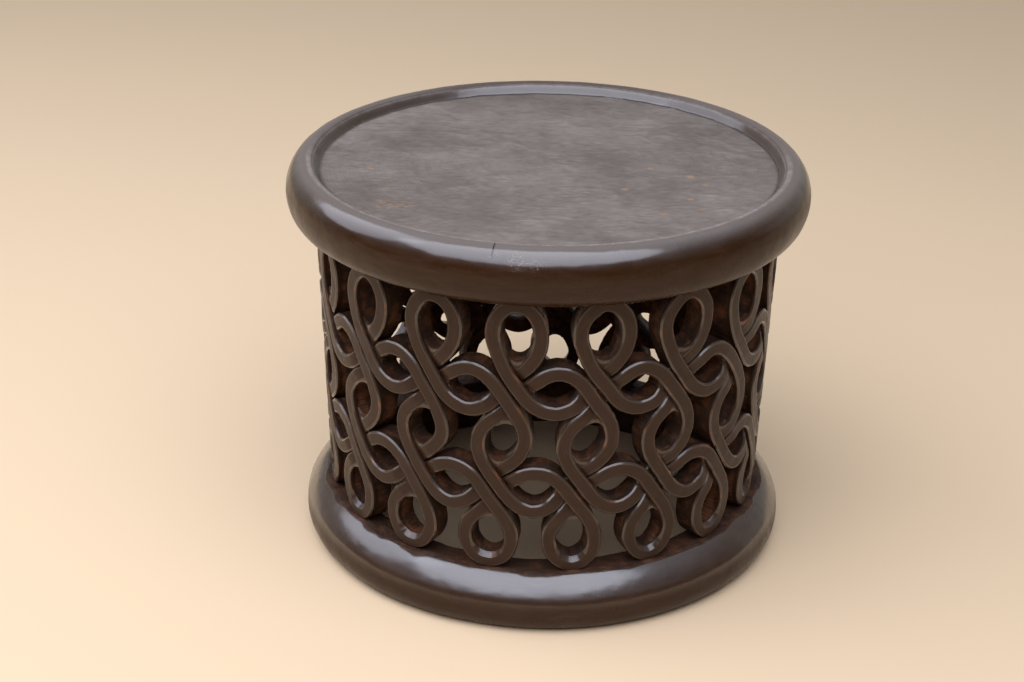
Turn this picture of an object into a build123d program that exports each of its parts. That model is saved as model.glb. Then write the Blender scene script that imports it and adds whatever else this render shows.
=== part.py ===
# Drum table: a log hollowed and pierced into an interlaced wall between a
# dished tray and a rounded base ring.  Millimetres, +Z up, the floor at Z = 0,
# the drum's axis on Z.
#
# The wall is drawn flat, as a carver lays it out on a strip wrapped round the
# log: u runs round the drum, z runs up.  Three kinds of band are woven there.
# The upper strand loops up to the tray, the lower strand loops down to the base,
# and one closed ring link in each column joins the two.  Where two pairs of
# bands cross, the pair that falls to the right lies over the pair that rises,
# and both are half lapped, so that they seat on one flat face.

from build123d import *
import math
import os

# ---------------------------------------------------------------- whole table
height = 430.8
tray_diameter = 560.0
columns = 17
first_column_angle = 14.2

# ----------------------------------------------------------------------- tray
rim_height = 60.8
rim_overhang = 30.0
rim_roll_width = 18.5
rim_crest_width = 10.5
rim_inner_drop = 5.2
rim_inner_slope = 2.2
tray_depth = 11.6
tray_thickness = 27.0
tray_cove_radius = 9.0

# ----------------------------------------------------------------------- base
base_height = 60.0
base_overhang = 28.0
base_bulge_height = 26.0
foot_tuck = 10.0
foot_chamfer = 2.0

# ----------------------------------------------------------------------- wall
wall_taper = 10.0
wall_depth = 26.0
seat_depth = 1.5
shoulder_margin = 2.0

# ---------------------------------------------------------------------- bands
band_width = 16.0
over_angle = -54.0
under_angle = 50.0
over_spacing = 17.8
under_spacing = 17.0
under_relief = 5.0
lap_depth = 8.0
lap_clearance = 0.3
lap_gap = 0.2
lap_margin = 8.0

# -------------------------------------------------------------------- pattern
upper_row_share = 0.3377
lower_row_share = 0.3035
crossing_shift = 19.6
loop_half_width = 25.4
loop_lean = 4.4
loop_head_share = 0.36
loop_flank_share = 0.84
loop_flank_rise = 0.74
eye_drop = 21.5
eye_rise = 24.0
eye_lean = 1.5
link_bulge = 25.3
link_shoulder_rise = 18.0
link_shoulder_inset = 8.5
link_hip_inset = 2.5
lane_near = 18.0
lane_far = 23.0

# ------------------------------------------------------------------- sections
stretch_length = 60.0
sections_per_stretch = 5

# ------------------------------------------------------------- derived places
tray_radius = tray_diameter / 2
tray_underside = height - rim_height
tray_floor = height - tray_depth
tray_ceiling = tray_floor - tray_thickness
rim_middle = tray_underside + rim_height / 2
rim_crest_radius = tray_radius - rim_roll_width
rim_inner_radius = rim_crest_radius - rim_crest_width
wall_height = tray_underside - base_height
wall_top_radius = tray_radius - rim_overhang
wall_foot_radius = wall_top_radius - wall_taper
base_bulge_radius = wall_foot_radius + base_overhang
hollow_radius = wall_foot_radius - wall_depth
mean_radius = (wall_top_radius + wall_foot_radius) / 2
pitch_angle = 360.0 / columns
pitch = math.radians(pitch_angle) * mean_radius
next_column = Vector(pitch, 0)

over_way = Vector(math.cos(math.radians(over_angle)), math.sin(math.radians(over_angle)))
under_way = Vector(math.cos(math.radians(under_angle)), math.sin(math.radians(under_angle)))
over_side = Vector(-over_way.Y, over_way.X)
under_side = Vector(-under_way.Y, under_way.X)

# The wall's height is shared out between three rows: loops, ring links, loops.
upper_crossing_drop = wall_height * upper_row_share
lower_crossing_rise = wall_height * lower_row_share
upper_crossing = Vector(-loop_lean, tray_underside - upper_crossing_drop)
lower_crossing = Vector(-loop_lean - crossing_shift, base_height + lower_crossing_rise)
link_centre = (upper_crossing + lower_crossing) / 2 + next_column / 2
upper_reach = upper_crossing_drop - band_width / 2 + seat_depth
lower_reach = lower_crossing_rise - band_width / 2 + seat_depth


# ------------------------------------------------------- the flat wall layout
# A mark is a place on the strip and how deep a band's face is cut down there.
def face_radius(z):
    """Radius of the wall's outer face at a height: it leans in towards the foot."""
    return wall_foot_radius + wall_taper * (z - base_height) / wall_height


def over_lane(side, run):
    """A place on one of the two over bands of a crossing, measured from its centre."""
    return over_side * (side * over_spacing / 2) + over_way * run


def under_lane(side, run):
    """The same on one of the two under bands."""
    return under_side * (side * under_spacing / 2) + under_way * run


def loop_marks(reach):
    """One loop and the eye beside it, from its crossing, from loop head to loop head."""
    head_height = reach * loop_head_share
    waist = reach - head_height
    flank = waist * loop_flank_rise
    slant = math.sqrt(0.5)
    next_loop = next_column + Vector(loop_lean, 0)
    left = [
        (Vector(loop_lean, reach), 0.0),
        (Vector(loop_lean - loop_half_width * slant, waist + head_height * slant), 0.0),
        (Vector(loop_lean - loop_half_width, waist), 0.0),
        (Vector(loop_lean - loop_half_width * loop_flank_share, flank), 0.0),
        (over_lane(1, -lane_far), 0.0),
        (over_lane(1, 0), 0.0),
        (over_lane(1, lane_near), 0.0),
        (next_column / 2 + Vector(eye_lean, -eye_drop), 0.0),
    ]
    right = [
        (next_column + under_lane(1, -lane_near), under_relief),
        (next_column + under_lane(1, 0), under_relief),
        (next_column + under_lane(1, lane_near), under_relief),
        (next_loop + Vector(loop_half_width * loop_flank_share, flank), 0.0),
        (next_loop + Vector(loop_half_width, waist), 0.0),
        (next_loop + Vector(loop_half_width * slant, waist + head_height * slant), 0.0),
        (next_loop + Vector(0, reach), 0.0),
    ]
    return left + right


def half_link_marks():
    """The left and lower half of a ring link; a half turn gives the other half."""
    middle = (upper_crossing + lower_crossing) / 2
    next_lower = lower_crossing + next_column
    return [
        (middle + Vector(link_shoulder_inset - link_bulge, link_shoulder_rise), 0.0),
        (middle + Vector(-link_bulge, 0), 0.0),
        (middle + Vector(link_hip_inset - link_bulge, -link_shoulder_rise), 0.0),
        (lower_crossing + over_lane(1, -lane_near), 0.0),
        (lower_crossing + over_lane(1, 0), 0.0),
        (lower_crossing + over_lane(1, lane_near), 0.0),
        (lower_crossing + next_column / 2 - Vector(eye_lean, eye_rise), 0.0),
        (next_lower + under_lane(1, -lane_near), under_relief),
        (next_lower + under_lane(1, 0), under_relief),
        (next_lower + under_lane(1, lane_near), under_relief),
    ]


def half_turn(marks, centre):
    return [(centre * 2 - place, relief) for place, relief in marks]


# --------------------------------------------------------- bands on the round
def outwards_at(u):
    angle = math.radians(first_column_angle) + u / mean_radius
    return Vector(math.sin(angle), -math.cos(angle), 0)


def around_at(u):
    angle = math.radians(first_column_angle) + u / mean_radius
    return Vector(math.cos(angle), math.sin(angle), 0)


def station(path, share):
    """The section plane across a band, x outwards and y across, and the section's sizes."""
    place = path @ share
    heading = path % share
    radius = face_radius(place.Z) - place.Y
    origin = outwards_at(place.X) * radius + Vector(0, 0, place.Z)
    normal = around_at(place.X) * heading.X + Vector(0, 0, heading.Z)
    depth = wall_depth - place.Y
    outer = band_width / 2 * radius / mean_radius
    inner = band_width / 2 * (radius - depth) / mean_radius
    return Plane(origin=origin, x_dir=outwards_at(place.X), z_dir=normal), depth, outer, inner


def centreline_of(marks, closed):
    """The spline of a band's centreline on the flat strip, and the part of it to build.

    A running strand is drawn on through the columns on both sides, so that its
    units meet square on to each other.
    """
    points = [Vector(place.X, relief, place.Y) for place, relief in marks]
    if closed:
        with BuildLine() as centreline:
            Spline(*points, periodic=True)
        return centreline.edges()[0], 0.0, 1.0
    step = points[-1] - points[0]
    before = [point - step for point in points[:-1]]
    after = [point + step for point in points[1:]]
    with BuildLine() as centreline:
        Spline(*before, *points, *after)
    path = centreline.edges()[0]
    return path, path.param_at_point(points[0]), path.param_at_point(points[-1])


def band(marks, closed):
    """A band of the wall, lofted stretch by stretch through sections across its centreline.

    The faces between two sections are ruled, like the strokes of a broad chisel.
    """
    path, first, last = centreline_of(marks, closed)
    stretches = round(path.length * (last - first) / stretch_length)
    with BuildPart() as body:
        for stretch in range(stretches):
            for step in range(sections_per_stretch):
                share = (stretch + step / (sections_per_stretch - 1)) / stretches
                plane, depth, outer, inner = station(path, first + (last - first) * share)
                with BuildSketch(plane):
                    Polygon((0, -outer), (0, outer), (-depth, inner), (-depth, -inner), align=None)
            loft(ruled=True)
    return body.part


def lap_block(crossing, way, spacing, other_spacing, sink, amount):
    """The half of the wall that one pair of bands takes up where it meets the other.

    It is a straight block set square to the drum at the crossing, as wide as the
    pair and a little longer than the other pair is wide.  The face it starts from
    is the flat on which the two pairs seat.
    """
    outwards = outwards_at(crossing.X)
    middle = outwards * (face_radius(crossing.Y) - lap_depth - sink) + Vector(0, 0, crossing.Y)
    along = around_at(crossing.X) * way.X + Vector(0, 0, way.Y)
    lap_face = Plane(origin=middle, x_dir=along, z_dir=outwards)
    width = spacing + band_width + 2 * lap_clearance
    length = other_spacing + band_width + 2 * lap_margin
    with BuildPart() as block:
        with BuildSketch(lap_face):
            Rectangle(length, width)
        extrude(amount=amount)
    return block.part


def over_notch(crossing):
    """What an over band gives up: the inner wall, where the under pair runs."""
    return lap_block(crossing, under_way, under_spacing, over_spacing, 0.0, -wall_depth)


def under_notch(crossing):
    """What an under band gives up: the outer wall, where the over pair runs."""
    return lap_block(crossing, over_way, over_spacing, under_spacing, lap_gap, wall_depth)


os.makedirs("parts", exist_ok=True)


# ----------------------------------------------------------------- tray top
# The dished top and its fat rolled rim, turned from the head of the log.  The
# hollow of the drum runs up into it, and the wall meets its flat underside.
with BuildPart() as tray_top:
    with BuildSketch(Plane.XZ):
        with BuildLine():
            Line((0, tray_ceiling), (hollow_radius - tray_cove_radius, tray_ceiling))
            cove = TangentArc(
                (hollow_radius - tray_cove_radius, tray_ceiling),
                (hollow_radius, tray_ceiling - tray_cove_radius),
                tangent=(1, 0),
            )
            Line(cove @ 1, (hollow_radius, tray_underside))
            Line((hollow_radius, tray_underside), (rim_crest_radius, tray_underside))
            EllipticalCenterArc(
                (rim_crest_radius, rim_middle), rim_roll_width, rim_height / 2,
                start_angle=-90, arc_size=180,
            )
            lip = Spline(
                (rim_crest_radius, height),
                (rim_inner_radius + rim_inner_slope, height - rim_inner_drop),
                tangents=[(-1, 0), (-1, -1)],
            )
            Polyline(lip @ 1, (rim_inner_radius, tray_floor), (0, tray_floor), (0, tray_ceiling))
        make_face()
    revolve(axis=Axis.Z)
tray_top.part.label = "tray_top"
export_step(tray_top.part, "parts/tray_top.step")


# ---------------------------------------------------------------- base ring
# The rounded ring that the drum stands on, open in the middle.
with BuildPart() as base_ring:
    with BuildSketch(Plane.XZ):
        with BuildLine():
            EllipticalCenterArc(
                (wall_foot_radius + shoulder_margin, base_bulge_height),
                base_bulge_radius - wall_foot_radius - shoulder_margin,
                base_height - base_bulge_height,
                start_angle=0, arc_size=90,
            )
            EllipticalCenterArc(
                (base_bulge_radius - foot_tuck, base_bulge_height),
                foot_tuck, base_bulge_height,
                start_angle=-90, arc_size=90,
            )
            Polyline(
                (base_bulge_radius - foot_tuck, 0),
                (hollow_radius, 0),
                (hollow_radius, base_height),
                (wall_foot_radius + shoulder_margin, base_height),
            )
        make_face()
    revolve(axis=Axis.Z)
    chamfer(base_ring.edges().group_by(Axis.Z)[0].sort_by(SortBy.RADIUS)[0], foot_chamfer)
base_ring.part.label = "base_ring"
export_step(base_ring.part, "parts/base_ring.step")


# -------------------------------------------------------------- ring links
# One closed loop of band in each column.  It passes over at its upper right and
# lower left crossings and under at the other two.
half_link = half_link_marks()
link_band = band(half_link + half_turn(half_link, link_centre), closed=True)
link_notches = [
    over_notch(lower_crossing),
    over_notch(upper_crossing + next_column),
    under_notch(upper_crossing),
    under_notch(lower_crossing + next_column),
]
with BuildPart() as link_pattern:
    add(link_band)
    add(link_notches, mode=Mode.SUBTRACT)

for column in range(columns):
    with BuildPart() as ring_link:
        add(link_pattern.part.rotate(Axis.Z, column * pitch_angle))
    ring_link.part.label = f"ring_link_{column + 1:02d}"
    export_step(ring_link.part, f"parts/{ring_link.part.label}.step")


# ------------------------------------------------------------ upper strand
# One band that runs all the way round, with a loop in each column that reaches
# up to the tray.  The heads of the loops are cut flat where they meet it.
upper_marks = [(upper_crossing + place, relief) for place, relief in loop_marks(upper_reach)]
upper_band = band(upper_marks, closed=False)
upper_notches = [over_notch(upper_crossing), under_notch(upper_crossing + next_column)]
with BuildPart() as upper_unit:
    add(upper_band)
    add(upper_notches, mode=Mode.SUBTRACT)
    split(bisect_by=Plane.XY.offset(tray_underside), keep=Keep.BOTTOM)
with BuildPart() as upper_strand:
    with PolarLocations(0, columns):
        add(upper_unit.part)
upper_strand.part.label = "upper_strand"
export_step(upper_strand.part, "parts/upper_strand.step")


# ------------------------------------------------------------ lower strand
# The upper strand's kin, turned upside down: its loops stand on the base ring.
lower_marks = [(lower_crossing + place, relief) for place, relief in loop_marks(lower_reach)]
lower_band = band(half_turn(lower_marks, lower_crossing), closed=False)
lower_notches = [over_notch(lower_crossing), under_notch(lower_crossing - next_column)]
with BuildPart() as lower_unit:
    add(lower_band)
    add(lower_notches, mode=Mode.SUBTRACT)
    split(bisect_by=Plane.XY.offset(base_height), keep=Keep.TOP)
with BuildPart() as lower_strand:
    with PolarLocations(0, columns):
        add(lower_unit.part)
lower_strand.part.label = "lower_strand"
export_step(lower_strand.part, "parts/lower_strand.step")
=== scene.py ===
"""The looks of a carved drum table: one dark waxed log, with a dished tray, an
interlaced wall and a rounded base ring.  Metres, +Z up, the drum's axis on Z.
"""

import math

import bmesh
import bpy
import numpy as np
from mathutils import Matrix, Vector


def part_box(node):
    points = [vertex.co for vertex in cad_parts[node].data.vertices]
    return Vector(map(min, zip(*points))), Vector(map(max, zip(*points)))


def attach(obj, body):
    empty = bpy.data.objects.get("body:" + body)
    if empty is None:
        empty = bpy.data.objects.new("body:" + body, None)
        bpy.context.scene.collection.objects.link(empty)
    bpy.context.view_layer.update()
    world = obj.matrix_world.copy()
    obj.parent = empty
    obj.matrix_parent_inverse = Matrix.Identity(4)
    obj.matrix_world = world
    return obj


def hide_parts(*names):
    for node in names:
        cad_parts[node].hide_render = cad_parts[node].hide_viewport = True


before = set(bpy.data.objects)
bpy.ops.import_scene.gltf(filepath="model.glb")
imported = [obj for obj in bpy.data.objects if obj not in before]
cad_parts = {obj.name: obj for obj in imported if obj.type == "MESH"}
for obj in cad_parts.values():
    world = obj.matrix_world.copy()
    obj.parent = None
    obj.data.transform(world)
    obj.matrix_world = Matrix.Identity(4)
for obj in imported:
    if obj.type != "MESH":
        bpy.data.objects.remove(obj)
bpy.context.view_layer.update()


# ------------------------------------------------------------------- the tray
# The head of the log, turned and hollowed from above into a shallow tray with a
# fat rolled rim.  The rim is rubbed with wax; the floor is left as the adze and
# the scraper left it, dry and greyer, with a few worn specks.
tray_low, tray_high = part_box("tray_top")
height = tray_high.z
tray_radius = tray_high.x
tray_underside = tray_low.z
rim_height = height - tray_underside
rim_middle = tray_underside + rim_height / 2
rim_roll_width = 0.0230
rim_under_width = 0.0185
rim_crest_width = 0.0062
rim_inner_drop = 0.0026
rim_inner_slope = 0.0062
lip_rounding = 0.0015
tray_depth = 0.0116
tray_thickness = 0.0270
tray_cove_radius = 0.0090
hollow_radius = 0.2140
turned_segments = 384
turned_sharp_angle = 60
adze_cut_density = (27.0, 42.0)
rim_stain, rim_faded = (0.026, 0.0092, 0.0022, 1), (0.042, 0.019, 0.0095, 1)
raw_wood = (0.09, 0.035, 0.016, 1)
# Dust on the rim, which also stands in as painted sheen on its top and inner wall.
rim_dust_and_sheen = (0.118, 0.091, 0.076, 1)
# The pale lip: real wear all round, and a painted highlight at the front.
lip_wear_and_highlight_colour = (0.30, 0.255, 0.22, 1)
scraped_low, scraped_high = (0.100, 0.080, 0.066, 1), (0.225, 0.187, 0.158, 1)
wall_foot_dark_colour = (0.050, 0.036, 0.028, 1)
speck_colour = (0.30, 0.165, 0.085, 1)
scuff_colour = (0.20, 0.15, 0.115, 1)
check_colour = (0.008, 0.004, 0.002, 1)
rim_crest_radius = tray_radius - rim_roll_width
rim_inner_radius = rim_crest_radius - rim_crest_width
tray_floor = height - tray_depth
floor_radius = rim_inner_radius - rim_inner_slope
tray_ceiling = tray_floor - tray_thickness


def node(tree, kind, inputs=(), **settings):
    """Adds a node, sets it up, and links or fills its inputs by name or place."""
    made = tree.nodes.new(kind)
    for name, value in settings.items():
        setattr(made, name, value)
    for key, value in dict(inputs).items():
        if isinstance(value, bpy.types.NodeSocket):
            tree.links.new(value, made.inputs[key])
        else:
            made.inputs[key].default_value = value
    return made


def maths(tree, operation, *values):
    return node(tree, "ShaderNodeMath", enumerate(values), operation=operation).outputs[0]


def product(tree, first, *others):
    """Multiplies values together."""
    for value in others:
        first = maths(tree, "MULTIPLY", first, value)
    return first


def vectors(tree, operation, *values):
    made = node(tree, "ShaderNodeVectorMath", enumerate(values), operation=operation)
    return made.outputs["Value" if operation == "LENGTH" else "Vector"]


def scaled(tree, vector, share):
    """A vector made longer or shorter by a share."""
    made = node(tree, "ShaderNodeVectorMath", {0: vector, "Scale": share}, operation="SCALE")
    return made.outputs["Vector"]


def join(tree, x=0.0, y=0.0, z=0.0):
    return node(tree, "ShaderNodeCombineXYZ", {"X": x, "Y": y, "Z": z}).outputs[0]


def stretched(tree, parts, factors):
    """A place whose parts are each multiplied by a factor of their own."""
    return join(tree, *[product(tree, part, factor) for part, factor in zip(parts, factors)])


def split(tree, vector):
    return node(tree, "ShaderNodeSeparateXYZ", {0: vector}).outputs


def noise(tree, where, scale, detail=2.0, roughness=0.5):
    """Smooth noise about 0.5 at a place."""
    inputs = {"Vector": where, "Scale": scale, "Detail": detail, "Roughness": roughness}
    return node(tree, "ShaderNodeTexNoise", inputs).outputs[0]


def swing(tree, where, scale, detail=2.0, roughness=0.5):
    """Smooth noise about zero at a place."""
    return maths(tree, "SUBTRACT", noise(tree, where, scale, detail, roughness), 0.5)


def ramp(tree, value, low, high, start=0.0, end=1.0):
    """Carries a value from start to end as it goes from low to high, and stops there."""
    inputs = {"Value": value, "From Min": low, "From Max": high, "To Min": start, "To Max": end}
    return node(tree, "ShaderNodeMapRange", inputs, interpolation_type="SMOOTHSTEP").outputs[0]


def blend(tree, share, first, second):
    """Mixes two colours."""
    made = node(tree, "ShaderNodeMix", {0: share, 6: first, 7: second}, data_type="RGBA")
    return made.outputs[2]


def mixed(tree, share, first, second):
    """Mixes two values."""
    return node(tree, "ShaderNodeMix", {0: share, 2: first, 3: second}).outputs[0]


def feed(tree, end, values):
    """Links values to a node's inputs by name."""
    for name, value in values.items():
        tree.links.new(value, end.inputs[name])


def group(name, kind, inputs, outputs):
    """An empty node group with named sockets, and its two end nodes."""
    tree = bpy.data.node_groups.new(name, kind)
    for way, sockets in (("INPUT", inputs), ("OUTPUT", outputs)):
        for socket, socket_kind in sockets.items():
            tree.interface.new_socket(socket, in_out=way, socket_type="NodeSocket" + socket_kind)
    return tree, tree.nodes.new("NodeGroupInput").outputs, tree.nodes.new("NodeGroupOutput")


def stained_wood():
    """Shared stain: fine grain and blotches, redder where the cut wood took less of it."""
    tree, given, out = group(
        "stained_wood", "ShaderNodeTree",
        {"Where": "Vector", "Along": "Vector", "Stain": "Color", "Faded": "Color",
         "Raw": "Color", "Bare": "Float"},
        {"Color": "Color", "Height": "Float"},
    )
    grain = noise(tree, given["Along"], 1.0, 5.0, 0.65)
    blotch = noise(tree, given["Where"], 14.0, 3.0, 0.55)
    faded = product(tree, ramp(tree, grain, 0.38, 0.72), ramp(tree, blotch, 0.3, 0.75, 0.35, 1.0))
    colour = blend(tree, faded, given["Stain"], given["Faded"])
    patches = ramp(tree, noise(tree, given["Where"], 60.0, 4.0, 0.6), 0.42, 0.66)
    colour = blend(tree, product(tree, given["Bare"], patches), colour, given["Raw"])
    feed(tree, out, {"Color": colour, "Height": grain})
    return tree


def rubbed_edges():
    """Shared wear: edges and high places rubbed paler, in broken patches."""
    tree, given, out = group(
        "rubbed_edges", "ShaderNodeTree",
        {"Where": "Vector", "Color": "Color", "Edge": "Float", "Worn": "Color"}, {"Color": "Color"},
    )
    broken = ramp(tree, noise(tree, given["Where"], 90.0, 4.0, 0.7), 0.3, 0.75, 0.25, 1.0)
    mask = product(tree, given["Edge"], broken)
    feed(tree, out, {"Color": blend(tree, mask, given["Color"], given["Worn"])})
    return tree


stained_wood_group = stained_wood()
rubbed_edges_group = rubbed_edges()


def shared(tree, shared_group, **inputs):
    """Puts a shared group to use, and gives its outputs."""
    return node(tree, "ShaderNodeGroup", inputs, node_tree=shared_group).outputs


def attribute(tree, name, output="Fac"):
    return node(tree, "ShaderNodeAttribute", attribute_name=name).outputs[output]


def new_material(name, settings):
    """A material, its tree, its principled shader with named settings, and its object coordinates."""
    material = bpy.data.materials.new(name)
    material.use_nodes = True
    tree = material.node_tree
    tree.nodes.clear()
    shader = node(tree, "ShaderNodeBsdfPrincipled", settings)
    surface = node(tree, "ShaderNodeOutputMaterial")
    tree.links.new(shader.outputs[0], surface.inputs[0])
    where = node(tree, "ShaderNodeTexCoord").outputs["Object"]
    return material, tree, shader, where


def upward(tree):
    """How far a surface faces up, from -1 to 1."""
    return split(tree, node(tree, "ShaderNodeNewGeometry").outputs["Normal"])[2]


def round_the_drum(tree, x, y, z):
    """A place's angle and radius, and a place on which grain runs round the drum."""
    angle = maths(tree, "ARCTAN2", y, x)
    radius = vectors(tree, "LENGTH", join(tree, x, y, 0.0))
    return angle, radius, stretched(tree, (angle, radius, z), (9.0, 200.0, 200.0))


def smeared(tree, where, scale, low, high):
    """A roughness that wanders between two values, as wax is smeared on."""
    return ramp(tree, noise(tree, where, scale, 4.0, 0.6), 0.3, 0.7, low, high)


def spot(tree, where, centre, reach):
    """1 at a place, falling to 0 at a reach that may differ along x, y and z."""
    offset = vectors(tree, "DIVIDE", vectors(tree, "SUBTRACT", where, centre), reach)
    return ramp(tree, vectors(tree, "LENGTH", offset), 1.0, 0.35)


def bumped(tree, shader, *layers):
    """Stacks bump layers of (height, distance in metres) under the shader's normal."""
    normal = None
    for height_value, distance in layers:
        inputs = {"Height": height_value, "Distance": distance, "Strength": 1.0}
        if normal is not None:
            inputs["Normal"] = normal
        normal = node(tree, "ShaderNodeBump", inputs).outputs[0]
    feed(tree, shader, {"Normal": normal})


def add_object(name, data):
    made = bpy.data.objects.new(name, data)
    bpy.context.collection.objects.link(made)
    return made


def solid(name, mesh):
    """An object made from a finished bmesh."""
    bmesh.ops.recalc_face_normals(mesh, faces=mesh.faces)
    data = bpy.data.meshes.new(name)
    mesh.to_mesh(data)
    mesh.free()
    return add_object(name, data)


def turned(name, outline, marks):
    """A ring or disc turned from an outline of (radius, z), with named values on its points."""
    mesh = bmesh.new()
    layers = {key: mesh.verts.layers.float.new(key) for key in marks}
    rows = []
    for place, (radius, z) in enumerate(outline):
        count = turned_segments if radius > 1e-6 else 1
        row = []
        for step in range(count):
            angle = 2 * math.pi * step / turned_segments
            vertex = mesh.verts.new((radius * math.cos(angle), radius * math.sin(angle), z))
            for key, values in marks.items():
                vertex[layers[key]] = values[place]
            row.append(vertex)
        rows.append(row)
    pairs = list(zip(rows, rows[1:]))
    if len(rows[0]) > 1:
        pairs.append((rows[-1], rows[0]))
    for inner, outer in pairs:
        for step in range(turned_segments):
            after = (step + 1) % turned_segments
            corners = [inner[step % len(inner)], outer[step % len(outer)],
                       outer[after % len(outer)], inner[after % len(inner)]]
            mesh.faces.new(list(dict.fromkeys(corners)))
    return solid(name, mesh)


def named(tree, name, kind="FLOAT"):
    return node(tree, "GeometryNodeInputNamedAttribute", {"Name": name}, data_type=kind).outputs[0]


def shifted(tree, geometry, **places):
    """Geometry with its points put at a Position or moved by an Offset."""
    return node(tree, "GeometryNodeSetPosition", {"Geometry": geometry, **places}).outputs[0]


def finish(tree, geometry, given, out):
    """Ends a geometry tree: makes what it built real and gives it its material."""
    real = node(tree, "GeometryNodeRealizeInstances", {"Geometry": geometry}).outputs[0]
    dressed = node(tree, "GeometryNodeSetMaterial", {"Geometry": real, "Material": given["Finish"]})
    feed(tree, out, {"Geometry": dressed.outputs[0]})


def adze_cuts(tree, where, x, y):
    """How high a scraped floor stands: shallow overlapping cuts with low ridges between."""
    waver = product(tree, swing(tree, where, 9.0), 0.06)
    place = stretched(tree, (x, maths(tree, "ADD", y, waver)), adze_cut_density)
    inputs = {"Vector": place, "Scale": 1.0, "Detail": 1.0, "Roughness": 0.25,
              "Smoothness": 0.2, "Randomness": 0.95}
    cell = node(tree, "ShaderNodeTexVoronoi", inputs, voronoi_dimensions="2D", feature="SMOOTH_F1")
    distance = cell.outputs["Distance"]
    return product(tree, distance, distance)


def hand_worked_tree():
    """Takes a turned piece out of true: broad wander, small dents, and a scraped floor."""
    tree, given, out = group(
        "hand_worked", "GeometryNodeTree",
        {"Geometry": "Geometry", "Wander": "Float", "Dents": "Float", "Facets": "Float",
         "Finish": "Material"},
        {"Geometry": "Geometry"},
    )
    where = node(tree, "GeometryNodeInputPosition").outputs[0]
    x, y, _ = split(tree, where)
    outwards = vectors(tree, "NORMALIZE", join(tree, x, y, 0.0))
    wander = scaled(tree, outwards, product(tree, swing(tree, where, 4.0, 1.0), given["Wander"]))
    normal = node(tree, "GeometryNodeInputNormal").outputs[0]
    dents = scaled(tree, normal, product(tree, swing(tree, where, 32.0, 3.0, 0.55), given["Dents"]))
    scraped = maths(tree, "SUBTRACT", adze_cuts(tree, where, x, y), 0.2)
    facet = product(tree, scraped, given["Facets"], named(tree, "floor"))
    moved = vectors(tree, "ADD", vectors(tree, "ADD", wander, dents), join(tree, 0.0, 0.0, facet))
    above_ground = vectors(tree, "MAXIMUM", vectors(tree, "ADD", where, moved), (-1.0, -1.0, 0.0))
    finish(tree, shifted(tree, given["Geometry"], Position=above_ground), given, out)
    return tree


hand_worked = hand_worked_tree()


def worked(piece, tree, sharp_angle, **values):
    """Runs a geometry tree on a piece and keeps the plain mesh that it makes."""
    modifier = piece.modifiers.new(tree.name, "NODES")
    modifier.node_group = tree
    sockets = {item.name: item.identifier for item in tree.interface.items_tree
               if item.in_out == "INPUT"}
    for name, value in values.items():
        modifier[sockets[name.title()]] = value
    bpy.context.view_layer.update()
    evaluated = piece.evaluated_get(bpy.context.evaluated_depsgraph_get())
    result = bpy.data.meshes.new_from_object(evaluated)
    piece.modifiers.clear()
    piece.data = result
    result.shade_smooth()
    result.set_sharp_from_angle(angle=math.radians(sharp_angle))
    return piece


def arc(centre, radii, start, end, count):
    """Points on an ellipse, from one angle in degrees to another."""
    angles = np.radians(np.linspace(start, end, count))
    return [(centre[0] + radii[0] * math.cos(way), centre[1] + radii[1] * math.sin(way))
            for way in angles]


def straight(start, end, count):
    return [tuple(point) for point in np.linspace(start, end, count)]


rim_lip_height = height - rim_inner_drop
under_roll_radius = tray_radius - rim_under_width
cove_centre = (hollow_radius - tray_cove_radius, tray_ceiling - tray_cove_radius)
tray_outline = (
    straight((0.0, tray_floor), (floor_radius, tray_floor), 72)
    + straight((floor_radius + 0.0010, tray_floor + 0.0006), (rim_inner_radius, rim_lip_height), 6)
    + arc((rim_crest_radius, rim_lip_height - lip_rounding),
          (rim_crest_width - 0.0002, rim_inner_drop + lip_rounding), 155, 92, 9)
    + arc((rim_crest_radius, rim_middle), (rim_roll_width, rim_height / 2), 90, 2, 22)
    + arc((under_roll_radius, rim_middle), (rim_under_width, rim_height / 2), -2, -90, 22)
    + straight((under_roll_radius - 0.004, tray_underside),
               (hollow_radius + 0.002, tray_underside), 10)
    + straight((hollow_radius, tray_underside + 0.002), (hollow_radius, cove_centre[1]), 4)
    + arc(cove_centre, (tray_cove_radius, tray_cove_radius), 10, 90, 6)
    + straight((cove_centre[0] - 0.01, tray_ceiling), (0.0, tray_ceiling), 24)
)
on_floor = [1.0 if r < floor_radius + 0.0002 and z > tray_ceiling + 0.01 else 0.0
            for r, z in tray_outline]
lip_wear = [0.3 * math.exp(-(((r - rim_inner_radius - 0.0004) / 0.0016) ** 2))
            if z > tray_floor + 0.003 else 0.0 for r, z in tray_outline]
unseen = [1.0 if z < tray_underside + 0.001 or (z <= tray_ceiling + 0.001 and r < hollow_radius + 0.001)
          else 0.0 for r, z in tray_outline]

# Worn specks, gouges and scuffs: where each lies, and how far it reaches.
stain_specks = [
    ((-0.1550, -0.1250), 0.030), ((-0.1720, -0.0760), 0.016), ((-0.1885, -0.0235), 0.006),
    ((0.1078, -0.0064), 0.005), ((0.1496, -0.0314), 0.006), ((0.1633, -0.0527), 0.005),
    ((0.0789, -0.0715), 0.006), ((0.1459, -0.0972), 0.005), ((0.1163, -0.1384), 0.007),
    ((0.1565, -0.1232), 0.006), ((0.1793, -0.1260), 0.003),
]
gouges = [((0.0092, 0.0305, 0.419), (0.010, 0.0028, 0.02)),
          ((0.0256, 0.0135, 0.419), (0.008, 0.0020, 0.02))]
rim_scuffs = [((-0.0280, -0.2745, 0.4205), 0.013), ((-0.0110, -0.2755, 0.4190), 0.010),
              ((-0.050, -0.268, 0.424), 0.007)]
rim_check_angle = math.radians(-11.0)
rim_check_place = (-0.0500, -0.2640, 0.4270)


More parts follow.
